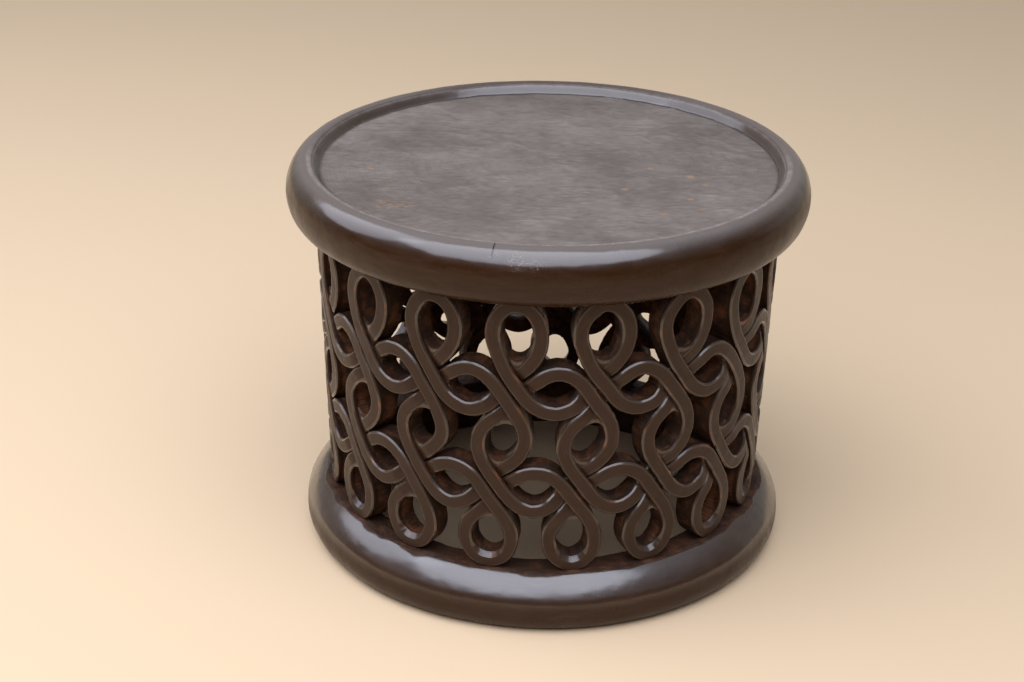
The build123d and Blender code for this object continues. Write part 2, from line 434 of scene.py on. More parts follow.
def tray_material():
    material, tree, shader, where = new_material(
        "waxed_tray", {"Specular IOR Level": 0.25, "Coat Roughness": 0.16, "Coat IOR": 1.6})
    x, y, z = split(tree, where)
    floor = attribute(tree, "floor")
    angle, radius, around = round_the_drum(tree, x, y, z)
    wavering = maths(tree, "ADD", y, product(tree, swing(tree, where, 17.0), 0.035))
    along_x = stretched(tree, (x, wavering, z), (80.0, 260.0, 260.0))
    along = node(tree, "ShaderNodeMix", {0: floor, 4: around, 5: along_x}, data_type="VECTOR").outputs[1]
    stained = shared(tree, stained_wood_group, Where=where, Along=along, Bare=attribute(tree, "raw"),
                     Raw=raw_wood, Stain=rim_stain, Faded=rim_faded)

    # The rim is paler where it faces up and on its inner wall, as dust and as painted sheen from the sky,
    # less so at the back.  The scraped floor is mottled.
    upwards = upward(tree)
    dust_and_sheen = product(tree, ramp(tree, upwards, 0.55, 1.0), ramp(tree, z, tray_underside, rim_middle),
                    ramp(tree, y, 0.18, 0.25, 1.0, 0.55))
    wall_dust_and_sheen = ramp(tree, radius, rim_inner_radius + 0.0010, rim_inner_radius - 0.0010, 0.0, 0.2)
    rim = blend(tree, maths(tree, "MAXIMUM", dust_and_sheen, wall_dust_and_sheen), stained["Color"], rim_dust_and_sheen)
    mottled = maths(tree, "MULTIPLY_ADD", noise(tree, where, 11.0, 5.0, 0.6), 0.55,
                    product(tree, stained["Height"], 0.45))
    scraped = blend(tree, ramp(tree, mottled, 0.30, 0.76), scraped_low, scraped_high)
    colour = blend(tree, floor, rim, scraped)

    # Darker at the foot of the inner wall, worn specks, scuffs on the rim, and the check beside them.
    wall_foot_darkening = product(tree, ramp(tree, radius, floor_radius - 0.0040, floor_radius - 0.0005),
                    ramp(tree, radius, floor_radius + 0.0030, floor_radius + 0.0010),
                    ramp(tree, z, tray_floor - 0.004, tray_floor - 0.002, 0.0, 0.6))
    colour = blend(tree, wall_foot_darkening, colour, wall_foot_dark_colour)
    speckle = ramp(tree, noise(tree, join(tree, product(tree, x, 0.5), y, z), 330.0, 3.0, 0.6), 0.52, 0.62)
    for (speck_x, speck_y), reach in stain_specks:
        mask = spot(tree, where, (speck_x, speck_y, tray_floor), (reach, reach * 0.7, 0.01))
        mask = product(tree, mask, 1.0 if reach < 0.01 else speckle, 0.75)
        colour = blend(tree, mask, colour, speck_colour)
    scratch = ramp(tree, noise(tree, join(tree, x, y, product(tree, z, 3.0)), 420.0, 2.0, 0.7), 0.54, 0.66)
    for place, reach in rim_scuffs:
        mask = product(tree, spot(tree, where, place, (reach, reach, reach)), scratch)
        colour = blend(tree, mask, colour, scuff_colour)
    from_front = maths(tree, "ARCTAN2", x, product(tree, y, -1.0))
    from_check = maths(tree, "ABSOLUTE", maths(tree, "SUBTRACT", from_front, rim_check_angle))
    check = product(tree, ramp(tree, from_check, 0.0035, 0.0012),
                    spot(tree, where, rim_check_place, (0.02, 0.02, 0.009)))
    colour = blend(tree, check, colour, check_colour)
    # A painted highlight on the rim top at the front, from the lip out to the crest, laid on with the worn
    # lip in the same pale colour.
    front_lip_highlight = product(tree, ramp(tree, radius, rim_inner_radius, rim_inner_radius + 0.003),
                      ramp(tree, radius, rim_crest_radius + 0.0030, rim_crest_radius - 0.0005),
                      ramp(tree, y, 0.06, -0.06, 0.0, 0.7))
    rubbed = maths(tree, "MAXIMUM", attribute(tree, "wear"), front_lip_highlight)
    worn = shared(tree, rubbed_edges_group, Where=where, Color=colour, Edge=rubbed, Worn=lip_wear_and_highlight_colour)

    # Wax shines on the roll and the inner wall.  The crest is rubbed dull, and the floor is dry.
    rough = mixed(tree, floor, smeared(tree, where, 18.0, 0.24, 0.34),
                  ramp(tree, mottled, 0.38, 0.70, 0.42, 0.54))
    rolled = ramp(tree, radius, rim_crest_radius, rim_crest_radius + 0.008, 0.25, 1.0)
    wall = ramp(tree, radius, rim_inner_radius + 0.0015, rim_inner_radius - 0.0005, 0.0, 0.9)
    polish = product(tree, ramp(tree, upwards, 0.10, 0.60), maths(tree, "MAXIMUM", rolled, wall),
                     maths(tree, "SUBTRACT", 1.0, floor))
    feed(tree, shader, {"Base Color": worn["Color"], "Roughness": rough, "Coat Weight": polish})
    rings = noise(tree, stretched(tree, (angle, radius), (1.5, 120.0)), 1.0)
    pared = product(tree, maths(tree, "MULTIPLY_ADD", rings, 0.6, adze_cuts(tree, where, x, y)), floor)
    grain = product(tree, stained["Height"], ramp(tree, floor, 0.0, 1.0, 0.10, 1.0))
    cuts = product(tree, check, -1.0)
    for place, reach in gouges:
        cuts = maths(tree, "SUBTRACT", cuts, spot(tree, where, place, reach))
    bumped(tree, shader, (grain, 0.0009), (pared, 0.0020), (cuts, 0.0016),
           (noise(tree, where, 26.0), 0.0014))
    return material


tray = turned("carved_tray", tray_outline, {"floor": on_floor, "wear": lip_wear, "raw": unseen})
worked(tray, hand_worked, turned_sharp_angle, wander=0.004, dents=0.0009, facets=0.0014,
       finish=tray_material())
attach(tray, "root")
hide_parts("tray_top")


# -------------------------------------------------------------- the base ring
# The foot of the log, left fat and rounded like the rim and open in the middle.
# Its bulge is rubbed bright with wax, and the shelf under the wall stays rough.
base_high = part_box("base_ring")[1]
base_height = base_high.z
base_bulge_radius = base_high.x
base_bulge_height = 0.022
foot_tuck = 0.017
shoulder_radius = 0.2445
shelf_rounding = 0.003
base_stain, base_faded = (0.031, 0.0128, 0.0055, 1), (0.048, 0.0235, 0.0135, 1)
foot_colour = (0.16, 0.13, 0.11, 1)


def sloped(start, start_angle, end, end_angle, count):
    """A curve outwards and down, which leaves and ends at angles in degrees below level."""
    start, end = np.array(start), np.array(end)
    ways = np.array([(math.cos(way), -math.sin(way)) for way in np.radians([start_angle, end_angle])])
    corner = start + ways[0] * np.linalg.solve(ways.T, end - start)[0]
    shares = np.linspace(0.0, 1.0, count)
    return [tuple((1 - t) ** 2 * start + 2 * t * (1 - t) * corner + t**2 * end) for t in shares]


shoulder_top = (shoulder_radius + 0.0012, base_height - 0.0006)
shoulder_foot = (base_bulge_radius - 0.0042, base_height - 0.0195)
base_outline = (
    straight((hollow_radius, 0.003), (hollow_radius, base_height - shelf_rounding), 10)
    + arc((hollow_radius + shelf_rounding, base_height - shelf_rounding),
          (shelf_rounding, shelf_rounding), 150, 100, 3)
    + straight((hollow_radius + 0.006, base_height), (shoulder_radius, base_height), 10)
    + sloped(shoulder_top, 33, shoulder_foot, 57, 22)
    + sloped(shoulder_foot, 57, (base_bulge_radius, base_bulge_height), 90, 14)[1:]
    + arc((base_bulge_radius - foot_tuck, base_bulge_height),
          (foot_tuck, base_bulge_height), -6, -88, 14)
    + straight((base_bulge_radius - foot_tuck - 0.002, 0.0), (hollow_radius + 0.002, 0.0), 8)
)
shelf = [1.0 if z > base_height - 0.0035 and r < shoulder_radius - 0.001 else 0.0
         for r, z in base_outline]
inside = [1.0 if r < hollow_radius + 0.001 else 0.0 for r, z in base_outline]
foot_wear = [math.exp(-((z / 0.004) ** 2)) if r > hollow_radius + 0.03 else 0.0
             for r, z in base_outline]


def base_material():
    material, tree, shader, where = new_material(
        "waxed_base", {"Specular IOR Level": 0.25, "Coat Roughness": 0.20, "Coat IOR": 1.75})
    x, y, z = split(tree, where)
    _, radius, around = round_the_drum(tree, x, y, z)
    ragged = maths(tree, "MULTIPLY_ADD", swing(tree, where, 22.0), 0.016, radius)
    rough_shelf = product(tree, ramp(tree, ragged, shoulder_radius + 0.0024, shoulder_radius + 0.0004),
                          ramp(tree, z, base_height - 0.008, base_height - 0.006))
    raw = maths(tree, "MAXIMUM", attribute(tree, "raw"), rough_shelf)
    stained = shared(tree, stained_wood_group, Where=where, Along=around, Bare=product(tree, raw, 0.7),
                     Raw=raw_wood, Stain=base_stain, Faded=base_faded)
    worn = shared(tree, rubbed_edges_group, Where=where, Color=stained["Color"],
                  Edge=attribute(tree, "wear"), Worn=foot_colour)
    rough = mixed(tree, raw, smeared(tree, where, 18.0, 0.25, 0.36), 0.60)
    polish = product(tree, ramp(tree, upward(tree), 0.05, 0.50), maths(tree, "SUBTRACT", 1.0, raw))
    feed(tree, shader, {"Base Color": worn["Color"], "Roughness": rough, "Coat Weight": polish})
    chopped = product(tree, noise(tree, where, 160.0, 4.0, 0.6), raw)
    bumped(tree, shader, (stained["Height"], 0.0001), (chopped, 0.003),
           (noise(tree, where, 26.0), 0.0016))
    return material


base = turned("carved_base", base_outline, {"floor": shelf, "wear": foot_wear, "raw": inside})
worked(base, hand_worked, turned_sharp_angle, wander=0.004, dents=0.0011, facets=0.002,
       finish=base_material())
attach(base, "root")
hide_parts("base_ring")


# --------------------------------------------------------------- upper strand
# The wall is pierced and carved from the log into bands that weave.  The carver
# draws them flat on a strip round the drum: u runs round, z runs up.  The upper
# strand runs all the way round and throws up a loop to the tray in each column.
columns = 17
first_column_angle = math.radians(14.2)
wall_top_radius = 0.250
wall_foot_radius = 0.240
wall_depth = 0.026
mean_radius = (wall_top_radius + wall_foot_radius) / 2
pitch = 2 * math.pi * mean_radius / columns
band_width = 0.016
band_edge = 0.0015
band_groove = 0.0005
band_sharp_angle = 38
band_stain, band_faded = (0.0300, 0.0130, 0.0065, 1), (0.0465, 0.0230, 0.0132, 1)
cut_wood = (0.115, 0.042, 0.017, 1)
rubbed_edge_colour, knocked_edge_colour = (0.046, 0.025, 0.015, 1), (0.135, 0.050, 0.022, 1)
over_angle = math.radians(-54)
under_angle = math.radians(50)
over_spacing = 0.0178
under_spacing = 0.0170
under_relief = 0.0048
under_slope = 0.015
lap_cover = 0.0026
lap_depth = 0.008
lap_clearance = 0.0002
crossing_reach = 0.042
wall_height = tray_underside - base_height
upper_crossing_drop = 0.3377 * wall_height
lower_crossing_rise = 0.3035 * wall_height
crossing_shift = 0.0196
loop_half_width = 0.0254
loop_lean = 0.0044
loop_head_share = 0.36
loop_flank_share = 0.84
loop_flank_rise = 0.74
eye_drop = 0.0215
eye_rise = 0.0240
eye_lean = 0.0015
lane_near = 0.018
lane_far = 0.023
loop_seat = 0.0015
chisel_stroke = 0.0092
band_step = 0.0024
hand_spread = 0.00035
sway_angle, sway_lean_angle = 0.020, 0.009
ripple_round, ripple_up = 0.0009, 0.0011

over_way = np.array([math.cos(over_angle), math.sin(over_angle)])
under_way = np.array([math.cos(under_angle), math.sin(under_angle)])
over_side = np.array([-over_way[1], over_way[0]])
under_side = np.array([-under_way[1], under_way[0]])
next_column = np.array([pitch, 0.0])
wall_lean = (wall_top_radius - wall_foot_radius) / wall_height
over_pair_half = (over_spacing + band_width) / 2
under_pair_half = (under_spacing + band_width) / 2
heel_height = base_height + 0.028
heel_easing = 0.0038
heel_easing_rise = 0.012
upper_crossing = np.array([-loop_lean, tray_underside - upper_crossing_drop])
lower_crossing = np.array([-loop_lean - crossing_shift, base_height + lower_crossing_rise])
upper_reach = upper_crossing_drop - band_width / 2 + loop_seat
lower_reach = lower_crossing_rise - band_width / 2 + loop_seat


def over_lane(side, run):
    return over_side * (side * over_spacing / 2) + over_way * run


def under_lane(side, run):
    return under_side * (side * under_spacing / 2) + under_way * run


def loop_marks(reach):
    """One loop and the eye beside it, from its crossing, up to the next loop's head."""
    slant = math.sqrt(0.5)
    head_height = reach * loop_head_share
    waist = reach - head_height
    head = np.array([loop_lean, 0.0])
    half = [(loop_half_width * slant, waist + head_height * slant),
            (loop_half_width, waist),
            (loop_half_width * loop_flank_share, waist * loop_flank_rise)]
    return [
        head + (0.0, reach),
        *[head + (-width, rise) for width, rise in half],
        *[over_lane(1, run) for run in (-lane_far, 0.0, lane_near)],
        next_column / 2 + (eye_lean, -eye_drop),
        *[next_column + under_lane(1, run) for run in (-lane_near, 0.0, lane_near)],
        *[next_column + head + (width, rise) for width, rise in reversed(half)],
    ]


def neighbours(points, step):
    """The points before and after each, on a ring that runs on by a step after each round."""
    before, after = np.roll(points, 1, axis=0), np.roll(points, -1, axis=0)
    before[0] -= step
    after[-1] += step
    return before, after


def directions(points, step):
    before, after = neighbours(points, step)
    return (after - before) / np.linalg.norm(after - before, axis=1)[:, None]


def smooth_line(marks, step):
    """The even curve through a ring of marks that runs on by a step after each round."""
    marks = np.array(marks)
    count = len(marks)
    after = np.vstack([marks[1:], marks[:1] + step])
    runs = np.linalg.norm(after - marks, axis=1)
    slopes = (after - marks) / runs[:, None]
    bends = np.zeros((count, count))
    for place in range(count):
        before = (place - 1) % count
        bends[place, before] += runs[before]
        bends[place, place] += 2 * (runs[before] + runs[place])
        bends[place, (place + 1) % count] += runs[place]
    curl = np.linalg.solve(bends, 6 * (slopes - np.roll(slopes, 1, axis=0)))
    line = []
    for place in range(count):
        run, curl_here, curl_after = runs[place], curl[place], curl[(place + 1) % count]
        for share in np.arange(0.0, 1.0, 0.001 / run):
            t, rest = share * run, run - share * run
            line.append(curl_here * rest**3 / (6 * run) + curl_after * t**3 / (6 * run)
                        + (marks[place] / run - curl_here * run / 6) * rest
                        + (after[place] / run - curl_after * run / 6) * t)
    return np.array(line)


def chiselled(line, step, seed):
    """The line as short straight strokes of uneven length, with their corners a little eased."""
    dice = np.random.default_rng(seed)
    closed = np.vstack([line, line[:1] + step])
    along = np.concatenate([[0.0], np.cumsum(np.linalg.norm(np.diff(closed, axis=0), axis=1))])
    strokes = chisel_stroke * dice.uniform(0.7, 1.3, int(along[-1] / chisel_stroke))
    corners = np.concatenate([[0.0], np.cumsum(strokes) * along[-1] / strokes.sum()])
    corner_points = np.column_stack([np.interp(corners, along, closed[:, axis]) for axis in (0, 1)])
    places = np.linspace(0.0, along[-1], round(along[-1] / band_step), endpoint=False)
    points = np.column_stack([np.interp(places, corners, corner_points[:, axis]) for axis in (0, 1)])
    for _ in range(2):
        before, after = neighbours(points, step)
        points = (before + 2 * points + after) / 4
    return points


def drifted(points):
    """Moves points as the carver's layout wanders: a slow sway, the same for all bands."""
    u, z = points[:, 0], points[:, 1]
    angle = u / mean_radius + first_column_angle - math.radians(10)
    sway = -sway_angle * np.sin(angle) + sway_lean_angle * (1 - np.cos(2 * angle)) * (z - 0.2) / 0.1
    u_moved = u + mean_radius * sway + ripple_round * np.sin(5 * angle + 31 * z)
    from_ends = np.sin(math.pi * (z - base_height) / wall_height)
    return np.column_stack([u_moved, z + ripple_up * np.sin(7 * angle + 1.3) * from_ends])


def round_crossing(flat, crossing):
    """Offsets from the nearest crossing of a row, and how far past its two pairs they lie."""
    offset = flat - crossing
    offset[:, 0] = (offset[:, 0] + pitch / 2) % pitch - pitch / 2
    past_over = np.abs(offset @ over_side) - over_pair_half
    past_under = np.abs(offset @ under_side) - under_pair_half
    return offset, past_over, past_under


def sunk(past_over):
    """How deep the under bands' faces are cut as they near the pair that lies over them."""
    return under_relief * np.clip(1 - past_over / under_slope, 0.0, 1.0) ** 1.5


def laid_band(name, marks, step, seed):
    """A band's centreline as a ring of edges, with what the sweep needs at each point."""
    dice = np.random.default_rng(seed)
    marks = np.array(marks) + dice.normal(0.0, hand_spread, (len(marks), 2))
    flat = chiselled(smooth_line(marks, step), step, seed)
    ways = directions(flat, step)
    falling = np.abs(ways @ over_way) > np.abs(ways @ under_way)
    face = np.zeros(len(flat))
    back = np.full(len(flat), wall_depth)
    for crossing in (upper_crossing, lower_crossing):
        offset, past_over, past_under = round_crossing(flat, crossing)
        near = np.linalg.norm(offset, axis=1) < crossing_reach
        dip = np.where(past_over < -lap_cover, lap_depth + lap_clearance, sunk(past_over))
        face = np.where(near & ~falling, np.maximum(face, dip), face)
        back = np.where(near & falling & (past_under < -lap_cover), lap_depth, back)
    placed = drifted(flat)
    ways = directions(placed, step)
    count = len(placed)
    mesh = bpy.data.meshes.new(name)
    edges = [(place, (place + 1) % count) for place in range(count)]
    mesh.from_pydata([(u, z, 0.0) for u, z in placed], edges, [])
    values = {
        "face": face, "back": back, "run": np.arange(count) * band_step,
        "ease": heel_easing * np.clip((heel_height - flat[:, 1]) / heel_easing_rise, 0.0, 1.0),
        "sideways": np.column_stack([ways[:, 1], -ways[:, 0], np.zeros(count)]),
    }
    for key, value in values.items():
        kind, field = ("FLOAT", "value") if value.ndim == 1 else ("FLOAT_VECTOR", "vector")
        layer = mesh.attributes.new(key, kind, "POINT")
        layer.data.foreach_set(field, value.astype(np.float32).ravel())
    return add_object(name, mesh)


def carved_band_tree():
    """Sweeps a band's section along its centreline on the strip and wraps it on the drum."""
    tree, given, out = group(
        "carved_band", "GeometryNodeTree",
        {"Geometry": "Geometry", "Width": "Float", "Depth": "Float", "Edge": "Float",
         "Rough": "Float", "Seed": "Float", "Finish": "Material"},
        {"Geometry": "Geometry"},
    )

    def stored(geometry, name, value, kind="FLOAT"):
        inputs = {"Geometry": geometry, "Name": name, "Value": value}
        return node(tree, "GeometryNodeStoreNamedAttribute", inputs, data_type=kind).outputs[0]

    # The centreline, and a section with rounded corners and four steps on each long side.
    position = node(tree, "GeometryNodeInputPosition").outputs[0]
    path = stored(given["Geometry"], "spine", position, "FLOAT_VECTOR")
    rail = node(tree, "GeometryNodeMeshToCurve", {"Mesh": path}).outputs[0]
    inputs = {"Width": given["Width"], "Height": given["Depth"]}
    section = node(tree, "GeometryNodeCurvePrimitiveQuadrilateral", inputs).outputs[0]
    inputs = {"Curve": section, "Radius": given["Edge"], "Limit Radius": True, "Count": 1}
    section = node(tree, "GeometryNodeFilletCurve", inputs, mode="POLY").outputs[0]
    index = node(tree, "GeometryNodeInputIndex").outputs[0]
    long_side = maths(tree, "COMPARE", maths(tree, "FLOORED_MODULO", index, 2.0), 1.0, 0.1)
    inputs = {"Curve": section, "Cuts": product(tree, long_side, 3.0)}
    section = node(tree, "GeometryNodeSubdivideCurve", inputs).outputs[0]
    for key, value in zip(("across", "up"), split(tree, position)):
        section = stored(section, key, value)
    swept = node(tree, "GeometryNodeCurveToMesh", {"Curve": rail, "Profile Curve": section}).outputs[0]

    # How deep in the wall each point lies: laps, and the eased heels of the lower loops.
    face, back, run, ease, across, up = [
        named(tree, key) for key in ("face", "back", "run", "ease", "across", "up")]
    spine, sideways = [named(tree, key, "FLOAT_VECTOR") for key in ("spine", "sideways")]
    half_width = product(tree, given["Width"], 0.5)
    half_depth = product(tree, given["Depth"], 0.5)
    from_side = maths(tree, "SUBTRACT", half_width, maths(tree, "ABSOLUTE", across))
    below = maths(tree, "SUBTRACT", half_depth, up)
    above = maths(tree, "ADD", half_depth, up)
    middle = product(tree, maths(tree, "ADD", face, back), 0.5)
    outer_depth = maths(tree, "MINIMUM", maths(tree, "ADD", face, below), middle)
    side = maths(tree, "SIGN", across)
    facing_up = product(tree, split(tree, sideways)[1], side)
    eased = product(tree, maths(tree, "MAXIMUM", facing_up, 0.0), ease)
    at_lip = maths(tree, "COMPARE", below, given["Edge"], 0.0001)
    outer_depth = maths(tree, "MULTIPLY_ADD", eased, at_lip, outer_depth)
    inner_depth = maths(tree, "MAXIMUM", maths(tree, "SUBTRACT", back, above), middle)
    depth = mixed(tree, maths(tree, "GREATER_THAN", up, 0.0), inner_depth, outer_depth)

    # How far to the side of the centreline it lies, with the chisel's flutes and a slow swell.
    flutes = swing(tree, stretched(tree, (run, across, given["Seed"]), (190.0, 900.0, 1.0)), 1.0, 1.0)
    swell = swing(tree, join(tree, product(tree, run, 45.0), 7.0, given["Seed"]), 1.0, 1.0)
    width_share = maths(tree, "ADD", 1.0, product(tree, swell, 0.14))
    on_face = maths(tree, "COMPARE", maths(tree, "ADD", below, from_side), given["Edge"], 0.0001)
    on_face = product(tree, on_face, maths(tree, "LESS_THAN", below, 0.0002))
    inset = product(tree, eased, on_face, side)
    lateral = product(tree, maths(tree, "SUBTRACT", across, inset), width_share)
    lateral = maths(tree, "ADD", lateral, product(tree, flutes, 0.0010))

    # The strip wrapped on the drum, with faces a little uneven.
    u, z, _ = split(tree, vectors(tree, "ADD", spine, scaled(tree, sideways, lateral)))
    angle = maths(tree, "ADD", maths(tree, "DIVIDE", u, mean_radius), first_column_angle)
    rise = maths(tree, "SUBTRACT", z, base_height)
    face_radius = maths(tree, "MULTIPLY_ADD", rise, wall_lean, wall_foot_radius)
    radius = maths(tree, "SUBTRACT", face_radius, depth)
    wrapped = join(tree, product(tree, radius, maths(tree, "SINE", angle)),
                   product(tree, radius, maths(tree, "COSINE", angle), -1.0), z)
    rows = stored(swept, "stroke", join(tree, run, depth, across), "FLOAT_VECTOR")
    rows = stored(rows, "corner", maths(tree, "MAXIMUM", from_side, below))
    wobble = product(tree, swing(tree, position, 75.0), given["Rough"])
    push = scaled(tree, node(tree, "GeometryNodeInputNormal").outputs[0], wobble)
    shaped = shifted(tree, shifted(tree, rows, Position=wrapped), Offset=push)
    finish(tree, shaped, given, out)
    return tree


carved_band = carved_band_tree()


def band_material():
    material, tree, shader, where = new_material(
        "waxed_bands", {"Specular IOR Level": 0.26, "Coat Roughness": 0.22})
    run, depth, across = split(tree, attribute(tree, "stroke", "Vector"))
    edge = ramp(tree, attribute(tree, "corner"), 1.8 * band_edge, 1.05 * band_edge)
    cut = ramp(tree, depth, 0.003, 0.008)
    knocked = ramp(tree, noise(tree, where, 38.0, 3.0, 0.6), 0.54, 0.64)
    along = stretched(tree, (run, across, depth), (50.0, 300.0, 90.0))
    stained = shared(tree, stained_wood_group, Where=where, Along=along, Bare=cut,
                     Raw=cut_wood, Stain=band_stain, Faded=band_faded)
    worn = shared(tree, rubbed_edges_group, Where=where, Color=stained["Color"], Edge=edge,
                  Worn=blend(tree, knocked, rubbed_edge_colour, knocked_edge_colour))
    rough = mixed(tree, cut, smeared(tree, where, 50.0, 0.36, 0.48),
                  ramp(tree, depth, 0.008, 0.020, 0.50, 0.90))
    rubbed = product(tree, ramp(tree, upward(tree), 0.1, 0.6, 0.0, 0.8),
                     ramp(tree, depth, 0.016, 0.008), ramp(tree, depth, 0.0016, 0.0030))
    feed(tree, shader, {"Base Color": worn["Color"], "Roughness": mixed(tree, edge, rough, 0.28),
                        "Coat Weight": maths(tree, "MAXIMUM", edge, rubbed)})
    flutes = noise(tree, stretched(tree, (run, across, depth), (260.0, 1.0, 60.0)), 1.0)
    bumped(tree, shader, (stained["Height"], 0.0002), (product(tree, flutes, cut), 0.0030),
           (noise(tree, where, 70.0), 0.0008))
    return material


band_finish = band_material()


def carve(piece, seed):
    return worked(piece, carved_band, band_sharp_angle, width=band_width - band_groove, depth=wall_depth,
                  edge=band_edge, rough=0.0007, seed=seed, finish=band_finish)


def strand(name, unit, step, seed):
    """A band that runs all the way round, from the marks of one column."""
    marks = [mark + step * column for column in range(columns) for mark in unit]
    return carve(laid_band(name, marks, step * columns, seed), float(seed))


upper_unit = [upper_crossing + mark for mark in loop_marks(upper_reach)]
upper = strand("carved_upper_strand", upper_unit, next_column, 11)
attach(upper, "root")
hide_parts("upper_strand")


# --------------------------------------------------------------- lower strand
# The upper strand's kin, turned upside down: its loops stand on the base ring.
lower_unit = [lower_crossing - mark for mark in loop_marks(lower_reach)]
lower = strand("carved_lower_strand", lower_unit, -next_column, 23)
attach(lower, "root")
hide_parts("lower_strand")


# ----------------------------------------------------------------- ring links
# One closed loop of band in each column joins the two strands.  It passes over
# at its upper right and lower left crossings and under at the other two.
link_bulge = 0.0253
link_shoulder_rise = 0.018
link_shoulder_inset = 0.0085
link_hip_inset = 0.0025
link_middle = (upper_crossing + lower_crossing) / 2
link_centre = link_middle + next_column / 2
half_link = [
    link_middle + (link_shoulder_inset - link_bulge, link_shoulder_rise),
    link_middle + (-link_bulge, 0.0),
    link_middle + (link_hip_inset - link_bulge, -link_shoulder_rise),
    *[lower_crossing + over_lane(1, run) for run in (-lane_near, 0.0, lane_near)],
    lower_crossing + next_column / 2 - (eye_lean, eye_rise),
    *[lower_crossing + next_column + under_lane(1, run) for run in (-lane_near, 0.0, lane_near)],
]
link_marks = np.array(half_link + [2 * link_centre - mark for mark in half_link])
for column in range(columns):
    name = f"ring_link_{column + 1:02d}"
    path = laid_band("carved_" + name, link_marks + next_column * column, np.zeros(2), 100 + column)
    link = carve(path, 40.0 + column)
    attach(link, "root")
    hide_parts(name)


# -------------------------------------------------------------- eased corners
# Where bands part, the carver doesn't cut the hole to a point.  A little of the
# log is left in each corner, hollowed to a round, and sunk as the under band is.
top_easing = 0.0130
side_easing = 0.0050
arc_points = 8
outline_points = arc_points + 3
corner_setback = 0.006
corner_sink = 0.0004
corner_back_margin = 0.0005
corner_depths = (0.0, 0.001, 0.008, 0.016, 0.0255)

# The lines on which the bands of one column and of its neighbours were drawn.
drawn_lines = []
for unit, step in ((upper_unit, next_column), (lower_unit, -next_column)):
    line = smooth_line(unit, step)
    drawn_lines.append(np.vstack([line - step, line, line + step]))
link_line = smooth_line(link_marks, np.zeros(2))
drawn_lines += [link_line + next_column * column for column in (-1, 0, 1)]


def stretch_through(place):
    """The stretch, 40 mm to either side, of the band line that runs through a place."""
    line = min(drawn_lines, key=lambda points: np.linalg.norm(points - place, axis=1).min())
    middle = np.argmin(np.linalg.norm(line - place, axis=1))
    return line[np.arange(middle - 40, middle + 41) % len(line)]


def corner_outline(crossing, over, under, easing):
    """The outline on the strip of one eased corner, and the middle of its round."""
    lanes = [stretch_through(crossing + lane) for lane in (over_lane(over, 0.0), under_lane(under, 0.0))]
    sides = np.array([over * over_side, under * under_side])
    pair_halves = [over_pair_half, under_pair_half]
    meeting = np.linalg.solve(sides, pair_halves)
    reach = easing + band_width / 2
    middle, span = meeting * 1.5, 0.016
    while span > 0.0001:
        grid = np.linspace(-span, span, 33)
        tried = middle + np.stack(np.meshgrid(grid, grid), axis=-1).reshape(-1, 2)
        gaps = [np.linalg.norm(tried[:, None] + crossing - lane, axis=2).min(axis=1) for lane in lanes]
        misfit = sum((gap - reach) ** 2 for gap in gaps)
        outside = ((tried @ sides.T) > pair_halves).all(axis=1)
        middle = tried[np.argmin(np.where(outside, misfit, 1.0))]
        span /= 8
    middle = middle + crossing
    ends = [lane[np.argmin(np.linalg.norm(lane - middle, axis=1))] for lane in lanes]
    angles = [math.atan2(*(end - middle)[::-1]) for end in ends]
    turn = (angles[1] - angles[0] + math.pi) % (2 * math.pi) - math.pi
    ways = [angles[0] + turn * share for share in np.linspace(0.0, 1.0, arc_points)]
    rounds = np.array([(math.cos(way), math.sin(way)) for way in ways])
    inside = crossing + meeting * (1 - corner_setback / np.linalg.norm(meeting))
    return middle, rounds, [ends[1], inside, ends[0]]


def on_drum(flat, depth):
    """Wraps places on the strip on to the drum, some way in from its face."""
    angle = flat[:, 0] / mean_radius + first_column_angle
    radius = wall_foot_radius + wall_lean * (flat[:, 1] - base_height) - depth
    return np.column_stack([radius * np.sin(angle), -radius * np.cos(angle), flat[:, 1]])


corner_mesh = bmesh.new()
stroke_layer = corner_mesh.verts.layers.float_vector.new("stroke")
corner_layer = corner_mesh.verts.layers.float.new("corner")
for crossing in (upper_crossing, lower_crossing):
    for over, under in ((1, 1), (-1, -1), (1, -1), (-1, 1)):
        easing = top_easing if over == under else side_easing
        middle, rounds, behind = corner_outline(crossing, over, under, easing)
        for column in range(columns):
            rings = []
            for row, depth in enumerate(corner_depths):
                radius = easing + (band_edge if row == 0 else 0.0)
                flat = np.vstack([middle + rounds * radius, behind])
                past_over = round_crossing(flat, crossing)[1]
                deep = np.minimum(sunk(past_over) + corner_sink + depth, wall_depth - corner_back_margin)
                points = on_drum(drifted(flat + next_column * column), deep)
                ring = []
                for place, (point, down) in enumerate(zip(points, deep)):
                    vertex = corner_mesh.verts.new(point)
                    vertex[stroke_layer] = (place * 0.002 + column, down, 0.0)
                    vertex[corner_layer] = 0.0 if row < 2 and place < arc_points else 0.010
                    ring.append(vertex)
                rings.append(ring)
            around = [(here, (here + 1) % outline_points) for here in range(outline_points)]
            for above, below in zip(rings, rings[1:]):
                for here, after in around:
                    corner_mesh.faces.new([above[here], above[after], below[after], below[here]])
            for ring in (rings[0], rings[-1]):
                for here, after in around:
                    if arc_points + 1 not in (here, after):
                        corner_mesh.faces.new([ring[arc_points + 1], ring[here], ring[after]])
corners = solid("eased_corners", corner_mesh)
corners.data.materials.append(band_finish)
corners.data.shade_smooth()
corners.data.set_sharp_from_angle(angle=math.radians(band_sharp_angle))
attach(corners, "root")


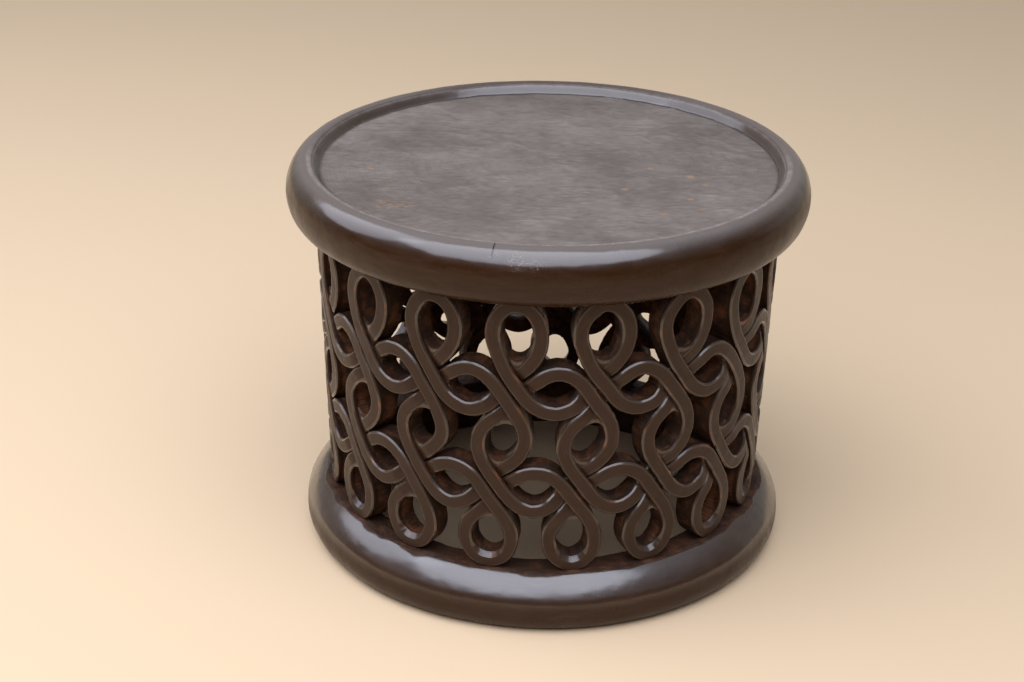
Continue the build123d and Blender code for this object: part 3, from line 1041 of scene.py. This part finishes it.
# ---------------------------------------------------------------------- stage
# A plain pale floor, broad soft light from above and from the left, as an open
# sky gives, and the camera a little above the table.
stage_half, stage_drop = 9.0, 0.0003
floor_mesh = bpy.data.meshes.new("floor")
stage_corners = [(x * stage_half, y * stage_half, -stage_drop)
                 for x, y in ((-1, -1), (1, -1), (1, 1), (-1, 1))]
floor_mesh.from_pydata(stage_corners, [], [(0, 1, 2, 3)])
floor = add_object("floor", floor_mesh)
floor_looks = {"Base Color": (0.72, 0.535, 0.345, 1), "Roughness": 0.9, "Specular IOR Level": 0.1}
floor_mesh.materials.append(new_material("pale_floor", floor_looks)[0])


def soft_light(name, place, target, width, depth, watts, colour):
    lamp = bpy.data.lights.new(name, "AREA")
    lamp.shape = "ELLIPSE"
    lamp.size, lamp.size_y = width, depth
    lamp.energy = watts
    lamp.color = colour
    holder = add_object(name, lamp)
    holder.location = place
    holder.rotation_euler = (Vector(target) - Vector(place)).to_track_quat("-Z", "Y").to_euler()


soft_light("open_sky", (-0.45, -1.20, 2.38), (-0.45, 0, 0.2), 4.4, 2.9, 110, (0.83, 0.87, 1.0))
soft_light("side_sky", (-2.30, 0.40, 2.15), (0, 0, 0.2), 2.5, 2.5, 38, (0.82, 0.86, 1.0))

world = bpy.data.worlds.new("studio")
world.use_nodes = True
bpy.context.scene.world = world
sky = world.node_tree
sky.nodes.clear()
seen = node(sky, "ShaderNodeLightPath").outputs["Is Camera Ray"]
_, back, rise = split(sky, node(sky, "ShaderNodeTexCoord").outputs["Generated"])
open_air = blend(sky, ramp(sky, rise, 0.2, 0.9), (0.08, 0.07, 0.06, 1), (0.50, 0.56, 0.66, 1))
pale_behind = product(sky, ramp(sky, back, 0.0, 0.45), ramp(sky, rise, 0.75, 0.45))
glow = blend(sky, pale_behind, open_air, (0.30, 0.29, 0.28, 1))
glow = blend(sky, seen, glow, (0.95, 0.95, 0.95, 1))
shade = node(sky, "ShaderNodeBackground", {"Color": glow, "Strength": 1.0})
node(sky, "ShaderNodeOutputWorld", {"Surface": shade.outputs[0]})

camera_data = bpy.data.cameras.new("camera")
camera_data.lens = 69.54
camera_data.sensor_width = 36.0
camera = add_object("camera", camera_data)
yaw, pitch_down, roll = math.radians(-1.052), math.radians(24.957), math.radians(0.817)
forward = Vector((math.sin(yaw) * math.cos(pitch_down), math.cos(yaw) * math.cos(pitch_down),
                  -math.sin(pitch_down)))
level = Vector((math.cos(yaw), -math.sin(yaw), 0.0))
upright = level.cross(forward)
right = math.cos(roll) * level + math.sin(roll) * upright
top = -math.sin(roll) * level + math.cos(roll) * upright
facing = Matrix((right, top, -forward)).transposed().to_4x4()
camera.matrix_world = Matrix.Translation((0.0, -1.9967, 1.1398)) @ facing
bpy.context.scene.camera = camera
bpy.context.scene.view_settings.view_transform = "Standard"
